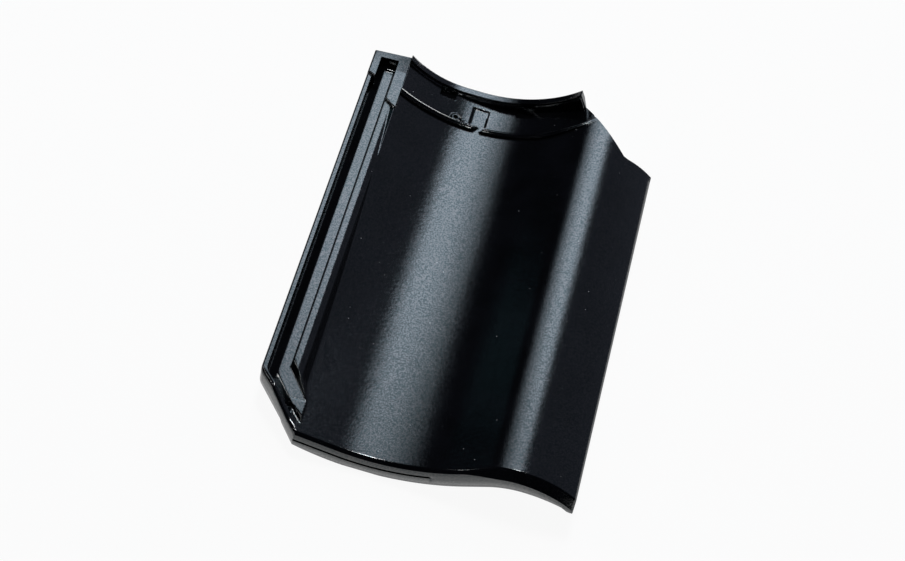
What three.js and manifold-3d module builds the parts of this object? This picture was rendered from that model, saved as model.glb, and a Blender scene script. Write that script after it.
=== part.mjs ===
// Interlocking clay pantile: one fired piece, glazed on its face.
// Millimetres. The tile is shaped in its own frame (x from the side lock to the roll, y from the
// nose to the head, z up from the level of the trough) and is then laid on the floor plane z = 0.
import * as THREE from 'three';
import { mergeVertices } from 'three/addons/utils/BufferGeometryUtils.js';
import Module from 'manifold-3d';

const wasm = await Module();
wasm.setup();

// ---------- driving dimensions ----------
const WIDTH = 260;                 // side-lock edge to roll edge
const LENGTH = 400;                // nose to head
const BODY_THICKNESS = 12;         // clay thickness, square to the face

// cross-section of the face at the nose and at the head; most of the change lies towards the head
const ACROSS = WIDTH / 260;        // trough and roll share the width of the tile
const NOSE_TROUGH_Z = 2;           // bottom of the trough at the nose
const HEAD_TROUGH_Z = 0.5;         // and at the head
const CROWN_Z = 35.5;              // top of the roll
const FLARE_POWER = 2;             // the section changes slowly at the nose and faster at the head
const NOSE_SECTION = {
  troughX: 96 * ACROSS, troughZ: NOSE_TROUGH_Z, troughRadius: 160 * ACROSS, sideAngle: 7,
  crownX: 214 * ACROSS, crownZ: CROWN_Z, crownRadius: 52 * ACROSS, edgeRadius: 69 * ACROSS,
};
const HEAD_SECTION = {
  troughX: 103 * ACROSS, troughZ: HEAD_TROUGH_Z, troughRadius: 116 * ACROSS, sideAngle: 60,
  crownX: 213 * ACROSS, crownZ: CROWN_Z, crownRadius: 52 * ACROSS, edgeRadius: 69 * ACROSS,
};

// side lock along the left edge
const LOCK_TOP = 19;               // height of the lock ribs
const OUTER_RIB = 4.2;             // width of the outer rib
const GROOVE_BOTTOM = 8.6;         // lowest line of the outer groove
const GROOVE_BOTTOM_X = 5.6;       // where that line runs
const GROOVE_END_LEVEL = 7.7;      // the groove falls to this level along the cut corner
const GROOVE_WIDTH = 8.4;          // outer groove, from rib to gutter
const GUTTER_WIDTH = 9;            // flat gutter between the groove and the inner rib
const GUTTER_LEVEL = 13.4;
const INNER_RIB_EDGE = 28;         // where the flat of the inner rib ends
const LOCK_SHOULDER_X = 31.8;      // where the rib slope turns steep
const LOCK_SHOULDER = 17.2;
const LOCK_WIDTH = 40.3;           // foot of the steep wall, if it went on down to the underside
const LOCK_UNDERSIDE = 4;          // underside at the left edge

// the lock turns along the cut corner and runs out into the trough
const GUTTER_BEND_Y = 53.6;        // from here the gutter's inner wall turns
const RIB_TURN_Y = 46.5;           // from here the inner rib leans over and narrows
const RIB_END_Y = 27.3;            // and here it has sunk to the gutter
const LOCK_END_X = 41.3;           // end of the gutter
const GUTTER_END_SLOPE = 0.8;      // run of the short wall there
const GUTTER_END_INSET = 10.4;     // edge of the gutter at its end, in from the cut corner
const RIB_LEAN = 3;                // lean of the rib's wall along the cut corner
const RUN_OUT_FROM_X = 14;         // the outer rib falls from here
const RUN_OUT_LEVEL = 6.4;         // to this level at the end of the cut corner

// cut corners
const LOW_CHAMFER_X = 39.5;        // nose corner on the lock side
const LOW_CHAMFER_Y = 41.5;
const HIGH_CHAMFER_X = WIDTH - 74;  // head corner on the roll side: start at the head edge
const FLAP_END_X = WIDTH - 23.5;   // and end at the top of the cover flap
const FLAP_END_Y = LENGTH - 55;

// cover flap: flat lower edge of the roll, it sits over the next tile's lock
const FLAP_BOTTOM = 8.5;

// frame round the head end of the side lock
const FRAME_TOP = 21.6;
const FRAME_WIDTH = 32.8;
const FRAME_OUTER_LEG = 7.5;
const FRAME_INNER_LEG_X = 22.6;
const FRAME_INNER_LEG_Y = LENGTH - 55.5;
const FRAME_OUTER_LEG_Y = LENGTH - 27;
const FRAME_LEG_SLANT = 3.5;       // the outer leg ends on a slant
const FRAME_HEAD_WALL = 7;
const FRAME_RISE = 3.1;            // the corner next to the head rim stands higher
const FRAME_RISE_LENGTH = 18;

// head rim
const RIM_LOW_Z = 8;               // flat middle of the rim's top
const RIM_LEFT = { x: 88 * ACROSS, radius: 84 * ACROSS };         // arc from the middle to the lock
const RIM_RIGHT = { x: 99.5 * ACROSS, radius: 112.5 * ACROSS };   // and up the roll
const RIM_BAND = 6.5;              // thickness of the rim at its top
const RIM_LEDGE = 2;               // ledge in front of the rim
const RIM_LEDGE_DROP = 2.6;        // ledge below the rim's top
const RIM_LEDGE_LEAST = 0.6;       // but always this much above the face
const RIM_END_X = WIDTH - 77;      // end of the rim's top above the roll
const RIM_END_FOOT_X = WIDTH - 69.5; // and of its foot

// weather bars across the head, with a slanting drain between them
const BAR_FRONT_Y = LENGTH - 42.2;
const BAR_HEIGHT = 2.8;            // of the front wall
const BAR_STEP = 1.6;              // narrow step on top of the front wall
const BAR_STEP_RISE = 1.2;
const BAR_RISER = 0.2;             // run of the small riser behind the step
const BAR_TOP = 2.4;               // rounded top behind the step
const BAR_TOP_FALL = 0.7;
const BAR_BACK = 1.6;              // run of the steep back
const BAR_FADE_START = 176 * ACROSS; // the bar sinks into the roll from here
const BAR_FADE_END = 204 * ACROSS;
const BAR_BEND_START = 155 * ACROSS; // and bends towards the head from here
const BAR_BEND = 23;
const BAR_BEND_POWER = 1.6;        // the bend grows towards the end
const DRAIN_X = 103.3;             // middle of the drain at the front of the bars
const DRAIN_WIDTH = 7;
const DRAIN_SLANT = 6;             // how far the drain runs sideways through the bars

// nail hole with its boss
const NAIL_X = 83.9;
const NAIL_Y = LENGTH - 34.2;
const NAIL_DIAMETER = 4.8;
const NAIL_BOSS = 10;
const NAIL_BOSS_HEIGHT = 2.4;

// shallow rectangular recess above the drain
const RECESS_X = 103.8;
const RECESS_Y = LENGTH - 23;
const RECESS_WIDTH = 13.8;
const RECESS_LENGTH = 20.8;
const RECESS_DEPTH = 1.6;

// pockets against the rim, above the nibs
const POCKET_LEFT_X = 72.1;
const POCKET_RIGHT_X = 140.8;
const POCKET_WIDTH = 13.8;
const POCKET_LENGTH = 4.5;
const POCKET_DEPTH = 3.5;
const POCKET_HEIGHT = 12;          // high enough to open the ledge of the rim too

// hanging nibs on the underside
const NIB_WIDTH = 28;
const NIB_LENGTH = 13;
const NIB_FROM_HEAD = 9;           // head edge to the nib
const NIB_REACH = 22;              // nib tip below the level of the trough

// nose: the top edge is rounded along the trough, on the roll it is a wide flat bevel
const NOSE_EDGE = 2.6;             // radius of the edge along the trough
const NOSE_BEVEL = 6.5;            // run of the bevel
const NOSE_BEVEL_DROP = 7;
const NOSE_BEVEL_FROM_X = WIDTH - 89;
const NOSE_BEVEL_FULL_X = WIDTH - 63;

// nose lip: lower outline of the front face
const LIP_TROUGH_Z = -16.6;
const LIP_CROWN_Z = 17.4;
const LIP_SECTION = {
  troughX: 95 * ACROSS, troughZ: LIP_TROUGH_Z, troughRadius: 178 * ACROSS, sideAngle: 40,
  crownX: 219 * ACROSS, crownZ: LIP_CROWN_Z, crownRadius: 60 * ACROSS, edgeRadius: 100 * ACROSS,
};
const LIP_THICKNESS = 14;          // front to back
const LIP_REST = 0.6;              // ground off the lowest part of the lip, to rest flat

// parting groove of the mould across the front face
const PARTING_BELOW_FACE = 9.6;    // at the lock side
const PARTING_END_BELOW_FACE = 9.2;  // at its end below the foot of the roll
const PARTING_END_X = 148 * ACROSS;
const PARTING_HEIGHT = 1.5;
const PARTING_DEPTH = 1.1;

// helpers of the construction
const STATION = 4.5;               // spacing of the sections
const ABOVE = 80;                  // clear of everything on the tile
const BELOW = -60;
const PAST = 20;
const EMBED = 3;                   // how far an added form reaches into the body
const FIT = 1;                     // overlap of a cut with the face that it opens
const SEAM = 0.03;                 // overlap of two cuts that meet

// ---------- the face as a function ----------
const lerp = (a, b, t) => a + (b - a) * t;

// Straight side, trough arc, straight flank, crown arc and edge arc, all tangent to each other.
function sectionHeight(s, x) {
  const side = THREE.MathUtils.degToRad(s.sideAngle);
  const arcStart = s.troughX - s.troughRadius * Math.sin(side);
  if (x < arcStart) {
    return s.troughZ + s.troughRadius * (1 - Math.cos(side)) + (arcStart - x) * Math.tan(side);
  }
  const troughCentre = new THREE.Vector2(s.troughX, s.troughZ + s.troughRadius);
  const crownCentre = new THREE.Vector2(s.crownX, s.crownZ - s.crownRadius);
  const between = crownCentre.clone().sub(troughCentre);
  const lean = Math.acos(Math.min(1, (s.troughRadius + s.crownRadius) / between.length()));
  const angle = between.angle() - lean;
  const out = new THREE.Vector2(Math.cos(angle), Math.sin(angle));
  const flankStart = troughCentre.clone().addScaledVector(out, s.troughRadius);
  const flankEnd = crownCentre.clone().addScaledVector(out, -s.crownRadius);
  if (x < flankStart.x) {
    return troughCentre.y - Math.sqrt(s.troughRadius ** 2 - (x - s.troughX) ** 2);
  }
  if (x < flankEnd.x) {
    return lerp(flankStart.y, flankEnd.y, (x - flankStart.x) / (flankEnd.x - flankStart.x));
  }
  const radius = x < s.crownX ? s.crownRadius : s.edgeRadius;
  return s.crownZ - radius + Math.sqrt(radius ** 2 - (x - s.crownX) ** 2);
}

function faceHeight(x, y) {
  return lerp(sectionHeight(NOSE_SECTION, x), sectionHeight(HEAD_SECTION, x), (y / LENGTH) ** FLARE_POWER);
}

function faceSlope(x, y) {
  return (faceHeight(x + 0.5, y) - faceHeight(x - 0.5, y));
}

// How far the edge of the nose lies below the face at a distance y behind the front.
function noseDrop(x, y) {
  const share = THREE.MathUtils.smoothstep(x, NOSE_BEVEL_FROM_X, NOSE_BEVEL_FULL_X);
  const round = NOSE_EDGE - Math.sqrt(NOSE_EDGE ** 2 - Math.max(NOSE_EDGE - y, 0) ** 2);
  const flat = NOSE_BEVEL_DROP * Math.max(1 - y / NOSE_BEVEL, 0);
  return lerp(round, flat, share);
}

// Under the lock the face goes on as a core that the lock's ribs cover.
function topHeight(x, y) {
  return Math.min(faceHeight(x, y), x < LOCK_SHOULDER_X ? LOCK_SHOULDER : ABOVE) - noseDrop(x, y);
}

function rimTop(x) {
  if (x > RIM_LEFT.x && x < RIM_RIGHT.x) return RIM_LOW_Z;
  const arc = x < RIM_RIGHT.x ? RIM_LEFT : RIM_RIGHT;
  return RIM_LOW_Z + arc.radius - Math.sqrt(arc.radius ** 2 - (x - arc.x) ** 2);
}

function underHeight(x, y) {
  if (x < LOCK_WIDTH) return lerp(LOCK_UNDERSIDE, underHeight(LOCK_WIDTH, y), x / LOCK_WIDTH);
  const under = faceHeight(x, y) - BODY_THICKNESS * Math.hypot(1, faceSlope(x, y));
  return x > NOSE_SECTION.crownX ? Math.max(under, FLAP_BOTTOM) : under;
}

// ---------- solids ----------
function solid(geometry) {
  geometry.deleteAttribute('normal');
  geometry.deleteAttribute('uv');
  const merged = mergeVertices(geometry, 1e-5);
  return new wasm.Manifold(new wasm.Mesh({
    numProp: 3,
    vertProperties: new Float32Array(merged.attributes.position.array),
    triVerts: new Uint32Array(merged.index.array),
  }));
}

function stations(from, to, step) {
  const count = Math.max(1, Math.round((to - from) / step));
  return Array.from({ length: count + 1 }, (_, i) => lerp(from, to, i / count));
}

// Closed solid between two height functions over stations in x and y; shift(x) moves a line in y.
function slab(xs, ys, top, under, shift = () => 0) {
  const nx = xs.length;
  const ny = ys.length;
  const positions = [];
  for (const height of [top, under]) {
    for (const y of ys) for (const x of xs) positions.push(x, y + shift(x), height(x, y + shift(x)));
  }
  const at = (layer, i, j) => layer * nx * ny + j * nx + i;
  const index = [];
  const quad = (a, b, c, d) => index.push(a, b, c, a, c, d);
  for (let j = 0; j + 1 < ny; j += 1) {
    for (let i = 0; i + 1 < nx; i += 1) {
      quad(at(0, i, j), at(0, i + 1, j), at(0, i + 1, j + 1), at(0, i, j + 1));
      quad(at(1, i, j), at(1, i, j + 1), at(1, i + 1, j + 1), at(1, i + 1, j));
    }
  }
  for (let i = 0; i + 1 < nx; i += 1) {
    quad(at(0, i, 0), at(1, i, 0), at(1, i + 1, 0), at(0, i + 1, 0));
    quad(at(0, i + 1, ny - 1), at(1, i + 1, ny - 1), at(1, i, ny - 1), at(0, i, ny - 1));
  }
  for (let j = 0; j + 1 < ny; j += 1) {
    quad(at(0, 0, j + 1), at(1, 0, j + 1), at(1, 0, j), at(0, 0, j));
    quad(at(0, nx - 1, j), at(1, nx - 1, j), at(1, nx - 1, j + 1), at(0, nx - 1, j + 1));
  }
  const geometry = new THREE.BufferGeometry();
  geometry.setAttribute('position', new THREE.Float32BufferAttribute(positions, 3));
  geometry.setIndex(index);
  return solid(geometry);
}

// Upright prism on a plan outline.
function prism(points, bottom, top) {
  const shape = new THREE.Shape(points.map(([x, y]) => new THREE.Vector2(x, y)));
  const geometry = new THREE.ExtrudeGeometry(shape, { depth: top - bottom, bevelEnabled: false });
  geometry.translate(0, 0, bottom);
  return solid(geometry);
}

function rectangle(x0, y0, x1, y1) {
  return [[x0, y0], [x1, y0], [x1, y1], [x0, y1]];
}

// Section in x and z carried along y.
function bar(points, y0, y1) {
  const shape = new THREE.Shape(points.map(([x, z]) => new THREE.Vector2(x, z)));
  const geometry = new THREE.ExtrudeGeometry(shape, { depth: y1 - y0, bevelEnabled: false });
  geometry.rotateX(Math.PI / 2);
  geometry.translate(0, y1, 0);
  return solid(geometry);
}

function post(x, y, diameter, bottom, top) {
  const geometry = new THREE.CylinderGeometry(diameter / 2, diameter / 2, top - bottom, 32);
  geometry.rotateX(Math.PI / 2);
  geometry.translate(x, y, (bottom + top) / 2);
  return solid(geometry);
}

// Plan line parallel to the cut corner, at a distance in from it.
const cornerLength = Math.hypot(LOW_CHAMFER_X, LOW_CHAMFER_Y);
const cornerNormal = [LOW_CHAMFER_Y / cornerLength, LOW_CHAMFER_X / cornerLength];
function insetY(x, distance) {
  return LOW_CHAMFER_Y + (distance - cornerNormal[0] * x) / cornerNormal[1];
}

function body() {
  const xs = [0, LOCK_SHOULDER_X - FIT, ...stations(LOCK_SHOULDER_X, WIDTH, STATION)];
  const edge = [0, 0.15, 0.5, 1].map((share) => share * NOSE_EDGE);
  const ys = [...edge, NOSE_BEVEL, ...stations(LENGTH / 6, LENGTH, LENGTH / 6)];
  return slab(xs, ys, topHeight, underHeight);
}

// Side lock: one section along the edge, leaning over to the end of the gutter at the nose.
function lock() {
  const straight = bar([
    [0, LOCK_UNDERSIDE], [0, LOCK_TOP], [INNER_RIB_EDGE, LOCK_TOP], [LOCK_SHOULDER_X, LOCK_SHOULDER],
    [LOCK_WIDTH, LOCK_UNDERSIDE],
  ], 0, LENGTH);
  const start = [
    [OUTER_RIB, LOCK_UNDERSIDE], [OUTER_RIB, LOCK_TOP], [INNER_RIB_EDGE, LOCK_TOP],
    [LOCK_SHOULDER_X, LOCK_SHOULDER], [LOCK_WIDTH, LOCK_UNDERSIDE],
  ].map(([x, z]) => [x, RIB_TURN_Y, z]);
  const end = [
    [RIB_END_Y, GUTTER_LEVEL], [insetY(LOCK_END_X, GUTTER_END_INSET), GUTTER_LEVEL],
    [insetY(LOCK_END_X, GROOVE_BOTTOM_X), GROOVE_END_LEVEL],
  ].flatMap(([y, z]) => [[LOCK_END_X, y, z], [LOCK_END_X + GUTTER_END_SLOPE, y, LOCK_UNDERSIDE]]);
  return straight.add(wasm.Manifold.hull([...start, ...end]));
}

function lip() {
  const xs = stations(LOW_CHAMFER_X, WIDTH, STATION);
  const inside = (x, y) => underHeight(x, y) + BODY_THICKNESS / 3;
  const outline = (x) => Math.min(sectionHeight(LIP_SECTION, x), underHeight(x, 0));
  return slab(xs, [0, LIP_THICKNESS], inside, outline);
}

function headRim() {
  const xs = stations(FRAME_WIDTH - 2, RIM_END_FOOT_X + STATION, STATION);
  const foot = (x) => faceHeight(x, LENGTH) - EMBED;
  const ledge = (x) => Math.max(rimTop(x) - RIM_LEDGE_DROP, faceHeight(x, LENGTH) + RIM_LEDGE_LEAST);
  const inner = LENGTH - RIM_BAND;
  const footZ = faceHeight(RIM_END_FOOT_X, LENGTH);
  const highZ = rimTop(xs.at(-1)) + PAST;
  const lean = (RIM_END_FOOT_X - RIM_END_X) / (rimTop(RIM_END_X) - footZ);
  const beyond = bar([
    [RIM_END_FOOT_X + PAST, footZ], [RIM_END_FOOT_X + PAST, highZ],
    [RIM_END_FOOT_X - lean * (highZ - footZ), highZ], [RIM_END_FOOT_X, footZ],
  ], 0, LENGTH + PAST);
  return slab(xs, [inner, LENGTH], rimTop, foot)
    .add(slab(xs, [inner - RIM_LEDGE, LENGTH], ledge, foot))
    .subtract(beyond);
}

function headFrame() {
  const block = prism(rectangle(0, FRAME_INNER_LEG_Y, FRAME_WIDTH, LENGTH), GROOVE_BOTTOM, FRAME_TOP);
  const slope = [
    [0, LENGTH - FRAME_HEAD_WALL, 0], [0, LENGTH, 0], [FRAME_WIDTH, LENGTH - FRAME_RISE_LENGTH, 0],
    [FRAME_INNER_LEG_X, LENGTH - FRAME_RISE_LENGTH, 0], [FRAME_WIDTH, LENGTH, FRAME_RISE],
  ];
  const rise = wasm.Manifold.hull(slope.flatMap(([x, y, z]) => [
    [x, y, GUTTER_LEVEL], [x, y, FRAME_TOP + z],
  ]));
  const slot = rectangle(FRAME_OUTER_LEG, 0, FRAME_INNER_LEG_X, LENGTH - FRAME_HEAD_WALL);
  const outside = [
    [-PAST, 0], [FRAME_OUTER_LEG, 0], [FRAME_OUTER_LEG, FRAME_OUTER_LEG_Y - FRAME_LEG_SLANT],
    [0, FRAME_OUTER_LEG_Y], [-PAST, FRAME_OUTER_LEG_Y],
  ];
  return block.add(rise).subtract(prism(slot, BELOW, ABOVE)).subtract(prism(outside, BELOW, ABOVE));
}

function barShift(x) {
  const share = (x - BAR_BEND_START) / (BAR_FADE_END - BAR_BEND_START);
  return BAR_BEND * THREE.MathUtils.clamp(share, 0, 1) ** BAR_BEND_POWER;
}

function weatherBars() {
  const xs = stations(FRAME_WIDTH - 2, BAR_FADE_END, STATION);
  const fade = (x) => Math.min(1, (BAR_FADE_END - x) / (BAR_FADE_END - BAR_FADE_START));
  const section = [
    [0, BAR_HEIGHT], [BAR_STEP, BAR_HEIGHT], [BAR_STEP + BAR_RISER, BAR_HEIGHT + BAR_STEP_RISE],
    [BAR_STEP + BAR_TOP / 2, BAR_HEIGHT + BAR_STEP_RISE - BAR_TOP_FALL / 4],
    [BAR_STEP + BAR_TOP, BAR_HEIGHT + BAR_STEP_RISE - BAR_TOP_FALL],
    [BAR_STEP + BAR_TOP + BAR_BACK, 0],
  ];
  const ys = section.map(([depth]) => BAR_FRONT_Y + depth);
  const rise = (x, y) => {
    const k = ys.findLastIndex((v) => v <= y - barShift(x) + 1e-6);
    return section[Math.max(k, 0)][1] * fade(x);
  };
  const top = (x, y) => faceHeight(x, y) + rise(x, y);
  const foot = (x, y) => faceHeight(x, y) - EMBED;
  const bars = slab(xs, ys, top, foot, barShift);
  const half = DRAIN_WIDTH / 2;
  const backY = ys.at(-1);
  const drain = prism([
    [DRAIN_X - half, BAR_FRONT_Y - FIT], [DRAIN_X + half, BAR_FRONT_Y - FIT],
    [DRAIN_X + half + DRAIN_SLANT, backY + FIT], [DRAIN_X - half + DRAIN_SLANT, backY + FIT],
  ], BELOW, ABOVE);
  return bars.subtract(drain);
}

// Outer groove and gutter, cut into the lock; both turn with the cut corner.
function lockCuts() {
  const gutterX = OUTER_RIB + GROOVE_WIDTH;
  const ribX = gutterX + GUTTER_WIDTH;
  const headY = LENGTH - FRAME_HEAD_WALL;
  const grooveEndY = FRAME_OUTER_LEG_Y - FRAME_LEG_SLANT;
  const past = LOCK_END_X + FRAME_OUTER_LEG;
  const pastShare = (past - gutterX) / (LOCK_END_X - gutterX);
  const pastY = lerp(insetY(gutterX, gutterX), insetY(LOCK_END_X, GUTTER_END_INSET), pastShare);
  const wallY = (x) => lerp(GUTTER_BEND_Y, RIB_END_Y, (x - ribX) / (LOCK_END_X - ribX));
  const gutter = prism([
    [gutterX, headY], [gutterX, insetY(gutterX, gutterX)], [past, pastY], [past, wallY(past)],
    [ribX, GUTTER_BEND_Y], [ribX, headY],
  ], GUTTER_LEVEL, ABOVE);
  const slot = prism(rectangle(FRAME_OUTER_LEG, grooveEndY, FRAME_INNER_LEG_X, headY), GUTTER_LEVEL, ABOVE);
  const wallTurn = (LOCK_END_X - ribX) / Math.hypot(LOCK_END_X - ribX, GUTTER_BEND_Y - RIB_END_Y);
  const leanY = RIB_LEAN / wallTurn * (ABOVE - GUTTER_LEVEL) / (LOCK_TOP - GUTTER_LEVEL);
  const ribWall = wasm.Manifold.hull([ribX, past].flatMap((x) => [
    [x, insetY(x, gutterX), GUTTER_LEVEL], [x, wallY(x), GUTTER_LEVEL],
    [x, insetY(x, gutterX), ABOVE], [x, wallY(x) + leanY, ABOVE],
  ]));
  const straight = bar([
    [OUTER_RIB, ABOVE], [OUTER_RIB, LOCK_TOP], [GROOVE_BOTTOM_X, GROOVE_BOTTOM],
    [gutterX, GUTTER_LEVEL], [gutterX, ABOVE],
  ], LOW_CHAMFER_Y - PAST, grooveEndY);
  const bend = prism([
    [OUTER_RIB, insetY(OUTER_RIB, OUTER_RIB) - SEAM], [gutterX, insetY(gutterX, gutterX) - SEAM],
    [gutterX, grooveEndY], [OUTER_RIB, grooveEndY],
  ], BELOW, ABOVE);
  const turned = wasm.Manifold.hull([
    [OUTER_RIB, insetY(OUTER_RIB, OUTER_RIB), ABOVE], [past, insetY(past, OUTER_RIB), ABOVE],
    [OUTER_RIB, insetY(OUTER_RIB, OUTER_RIB), LOCK_TOP], [past, insetY(past, OUTER_RIB), LOCK_TOP],
    [GROOVE_BOTTOM_X, insetY(GROOVE_BOTTOM_X, GROOVE_BOTTOM_X), GROOVE_BOTTOM],
    [past, insetY(past, GROOVE_BOTTOM_X), GROOVE_END_LEVEL],
    [gutterX, insetY(gutterX, gutterX), GUTTER_LEVEL], [gutterX, insetY(gutterX, gutterX), ABOVE],
    [past, pastY, GUTTER_LEVEL], [past, pastY, ABOVE],
  ]);
  return gutter.add(slot).add(ribWall).add(straight.intersect(bend)).add(turned);
}

// The outer rib falls along the cut corner.
function ribRunOut() {
  const band = prism([
    [0, LOW_CHAMFER_Y], [GROOVE_BOTTOM_X, insetY(GROOVE_BOTTOM_X, GROOVE_BOTTOM_X)],
    [LOW_CHAMFER_X, insetY(LOW_CHAMFER_X, GROOVE_BOTTOM_X)], [LOW_CHAMFER_X, -PAST], [0, -PAST],
  ], BELOW, ABOVE);
  const above = bar([
    [RUN_OUT_FROM_X, LOCK_TOP], [LOW_CHAMFER_X, RUN_OUT_LEVEL], [LOW_CHAMFER_X + PAST, RUN_OUT_LEVEL],
    [LOW_CHAMFER_X + PAST, ABOVE], [RUN_OUT_FROM_X, ABOVE],
  ], -PAST, LOW_CHAMFER_Y);
  return band.intersect(above);
}

// Groove left by the joint of the mould halves.
function partingGroove() {
  const below = (x) => {
    const share = (x - LOW_CHAMFER_X) / (PARTING_END_X - LOW_CHAMFER_X);
    return faceHeight(x, 0) - lerp(PARTING_BELOW_FACE, PARTING_END_BELOW_FACE, share);
  };
  const xs = stations(LOW_CHAMFER_X, PARTING_END_X, 2 * STATION);
  return slab(xs, [-PAST, PARTING_DEPTH], (x) => below(x), (x) => below(x) - PARTING_HEIGHT);
}

function headRecesses() {
  const recessFloor = faceHeight(RECESS_X, RECESS_Y) - RECESS_DEPTH;
  const recess = prism(rectangle(
    RECESS_X - RECESS_WIDTH / 2, RECESS_Y - RECESS_LENGTH / 2,
    RECESS_X + RECESS_WIDTH / 2, RECESS_Y + RECESS_LENGTH / 2,
  ), recessFloor, recessFloor + RECESS_DEPTH + EMBED);
  const pocketEnd = LENGTH - RIM_BAND - RIM_LEDGE;
  const pockets = [POCKET_LEFT_X, POCKET_RIGHT_X].map((x) => {
    const floor = faceHeight(x, LENGTH) - POCKET_DEPTH;
    return prism(rectangle(x - POCKET_WIDTH / 2, pocketEnd - POCKET_LENGTH, x + POCKET_WIDTH / 2,
      pocketEnd + RIM_LEDGE), floor, floor + POCKET_HEIGHT);
  });
  return pockets.reduce((all, pocket) => all.add(pocket), recess);
}

function nailBoss() {
  const base = faceHeight(NAIL_X, NAIL_Y);
  return post(NAIL_X, NAIL_Y, NAIL_BOSS, base - EMBED, base + NAIL_BOSS_HEIGHT);
}

function nailHole() {
  return post(NAIL_X, NAIL_Y, NAIL_DIAMETER, BELOW, ABOVE);
}

function cutCorners() {
  const low = prism([
    [-PAST, -PAST], [LOW_CHAMFER_X, -PAST], [LOW_CHAMFER_X, 0], [0, LOW_CHAMFER_Y], [-PAST, LOW_CHAMFER_Y],
  ], BELOW, ABOVE);
  const high = prism([
    [HIGH_CHAMFER_X, LENGTH + PAST], [HIGH_CHAMFER_X, LENGTH], [FLAP_END_X, FLAP_END_Y],
    [WIDTH + PAST, FLAP_END_Y], [WIDTH + PAST, LENGTH + PAST],
  ], BELOW, ABOVE);
  return low.add(high);
}

function nib(x) {
  const y1 = LENGTH - NIB_FROM_HEAD;
  const y0 = y1 - NIB_LENGTH;
  const root = (u, v) => underHeight(u, v) + EMBED;
  return slab([x - NIB_WIDTH / 2, x, x + NIB_WIDTH / 2], [y0, y1], root, () => -NIB_REACH - FIT);
}

// ---------- assembly ----------
let tile = body()
  .add(lock())
  .add(lip())
  .subtract(lockCuts())
  .subtract(ribRunOut())
  .add(headFrame())
  .add(headRim())
  .add(weatherBars())
  .add(nailBoss())
  .subtract(headRecesses())
  .subtract(nailHole())
  .subtract(partingGroove())
  .subtract(cutCorners())
  .add(nib(POCKET_LEFT_X))
  .add(nib(POCKET_RIGHT_X));

// At rest the tile stands on the lip and the two nibs; both are flat where they touch the floor.
const restLip = LIP_REST + LIP_TROUGH_Z;
const nibMiddle = LENGTH - NIB_FROM_HEAD - NIB_LENGTH / 2;
const restTilt = Math.atan2(-NIB_REACH - restLip, nibMiddle);
tile = tile
  .translate([0, 0, -restLip])
  .rotate([-THREE.MathUtils.radToDeg(restTilt), 0, 0])
  .trimByPlane([0, 0, 1], 0);
const { min, max } = tile.boundingBox();
tile = tile.translate([-(min[0] + max[0]) / 2, -(min[1] + max[1]) / 2, 0]);

const made = tile.getMesh();
const geometry = new THREE.BufferGeometry();
geometry.setAttribute('position', new THREE.BufferAttribute(new Float32Array(made.vertProperties), 3));
geometry.setIndex(new THREE.BufferAttribute(new Uint32Array(made.triVerts), 1));
geometry.computeVertexNormals();

const glaze = new THREE.MeshStandardMaterial({ color: 0x1b1d20, roughness: 0.12, metalness: 0 });
const mesh = new THREE.Mesh(geometry, glaze);
mesh.name = 'roof_tile';

const part = new THREE.Group();
part.name = 'clay_roof_tile';
part.add(mesh);
export default part;
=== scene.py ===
# Black glazed clay roof tile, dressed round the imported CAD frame. The scene is in metres. The tile's own
# numbers are millimetres: x from the side lock to the roll, y from the nose to the head, z up.
import math
import bpy
import numpy as np
from mathutils import Matrix, Vector


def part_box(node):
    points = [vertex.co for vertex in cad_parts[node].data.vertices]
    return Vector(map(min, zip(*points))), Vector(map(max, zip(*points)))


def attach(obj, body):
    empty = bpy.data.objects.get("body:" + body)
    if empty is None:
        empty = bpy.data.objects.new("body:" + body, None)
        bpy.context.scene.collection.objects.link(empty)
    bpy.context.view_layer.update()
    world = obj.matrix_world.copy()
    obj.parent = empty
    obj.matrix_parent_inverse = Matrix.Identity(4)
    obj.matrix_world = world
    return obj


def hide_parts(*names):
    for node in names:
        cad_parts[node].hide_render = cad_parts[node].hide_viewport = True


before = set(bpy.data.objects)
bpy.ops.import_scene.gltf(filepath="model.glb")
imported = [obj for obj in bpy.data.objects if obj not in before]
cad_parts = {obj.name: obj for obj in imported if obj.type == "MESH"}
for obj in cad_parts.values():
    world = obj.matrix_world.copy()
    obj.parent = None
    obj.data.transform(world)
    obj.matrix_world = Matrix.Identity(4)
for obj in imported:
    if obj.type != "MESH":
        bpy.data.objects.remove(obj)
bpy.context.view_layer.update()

# ---------- sizes of the tile, close to those of the CAD model ----------
WIDTH = 260.0                # side-lock edge to roll edge
LENGTH = 400.0               # nose to head
BODY = 12.0                  # clay thickness, square to the face

# cross-sections: bottom of the trough, its radius and the angle of its straight left side; top of the roll,
# its radius and the radius of its right edge
NOSE = dict(trough_x=96, trough_z=2.0, trough_r=160, side=8.2,
            crown_x=214, crown_z=35.5, crown_r=58, edge_r=76)
HEAD = dict(trough_x=103, trough_z=0.5, trough_r=116, side=60.0,
            crown_x=213, crown_z=35.5, crown_r=52, edge_r=69)
LIP = dict(trough_x=95, trough_z=-16.6, trough_r=178, side=40.0,
           crown_x=219, crown_z=17.4, crown_r=60, edge_r=100)
FLARE = 2.0                  # the section changes slowly at the nose and faster at the head

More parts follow.
